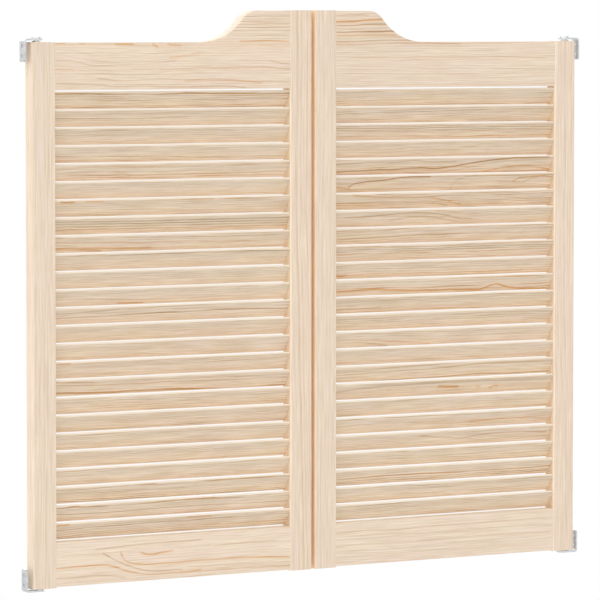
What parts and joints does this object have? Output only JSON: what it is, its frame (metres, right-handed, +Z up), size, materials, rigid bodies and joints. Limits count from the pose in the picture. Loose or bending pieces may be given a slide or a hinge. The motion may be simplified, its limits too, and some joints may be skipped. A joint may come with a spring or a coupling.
{
  "type": "cafe swinging doors",
  "caption": "Pair of half-height louvred swinging doors with arched crown rails, each leaf on sprung pivots that swing both ways.",
  "frame": {"origin": "midway between the leaves, in the middle of their thickness, level with the underside of the bottom brackets", "axes": "+X from the left leaf to the right one, +Y away from the viewer, +Z up"},
  "size_m": [0.92, 0.022, 0.804],
  "materials": {
    "pine": "bare, sanded",
    "zinc_steel": "zinc plated",
    "spring_steel": "oiled",
    "nylon": "natural"
  },
  "bodies": {
    "jamb_hardware": {"left_top_bracket": "zinc_steel", "left_bottom_bracket": "zinc_steel", "left_top_pivot_pin": "zinc_steel", "left_bottom_pivot_pin": "zinc_steel", "right_top_bracket": "zinc_steel", "right_bottom_bracket": "zinc_steel", "right_top_pivot_pin": "zinc_steel", "right_bottom_pivot_pin": "zinc_steel"},
    "left_leaf": {"left_outer_stile": "pine", "left_inner_stile": "pine", "left_top_rail": "pine", "left_bottom_rail": "pine", "left_slats_1": "pine", "left_slats_2": "pine", "left_slats_3": "pine", "left_slats_4": "pine", "left_slats_5": "pine", "left_top_bush": "nylon", "left_bottom_bush": "nylon", "left_torsion_rod": "spring_steel", "left_rod_anchor": "nylon"},
    "right_leaf": {"right_outer_stile": "pine", "right_inner_stile": "pine", "right_top_rail": "pine", "right_bottom_rail": "pine", "right_slats_1": "pine", "right_slats_2": "pine", "right_slats_3": "pine", "right_slats_4": "pine", "right_slats_5": "pine", "right_top_bush": "nylon", "right_bottom_bush": "nylon", "right_torsion_rod": "spring_steel", "right_rod_anchor": "nylon"}
  },
  "joints": [
    {"name": "left_leaf_swing", "type": "hinge", "parent": "jamb_hardware", "child": "left_leaf", "pos_m": [-0.438, 0, 0], "axis": [0, 0, 1], "range_deg": [-90, 90], "stiffness_Nm_per_rad": 0.83, "deforming": ["left_torsion_rod"]},
    {"name": "right_leaf_swing", "type": "hinge", "parent": "jamb_hardware", "child": "right_leaf", "pos_m": [0.438, 0, 0], "axis": [0, 0, 1], "range_deg": [-90, 90], "stiffness_Nm_per_rad": 0.83, "deforming": ["right_torsion_rod"]}
  ]
}
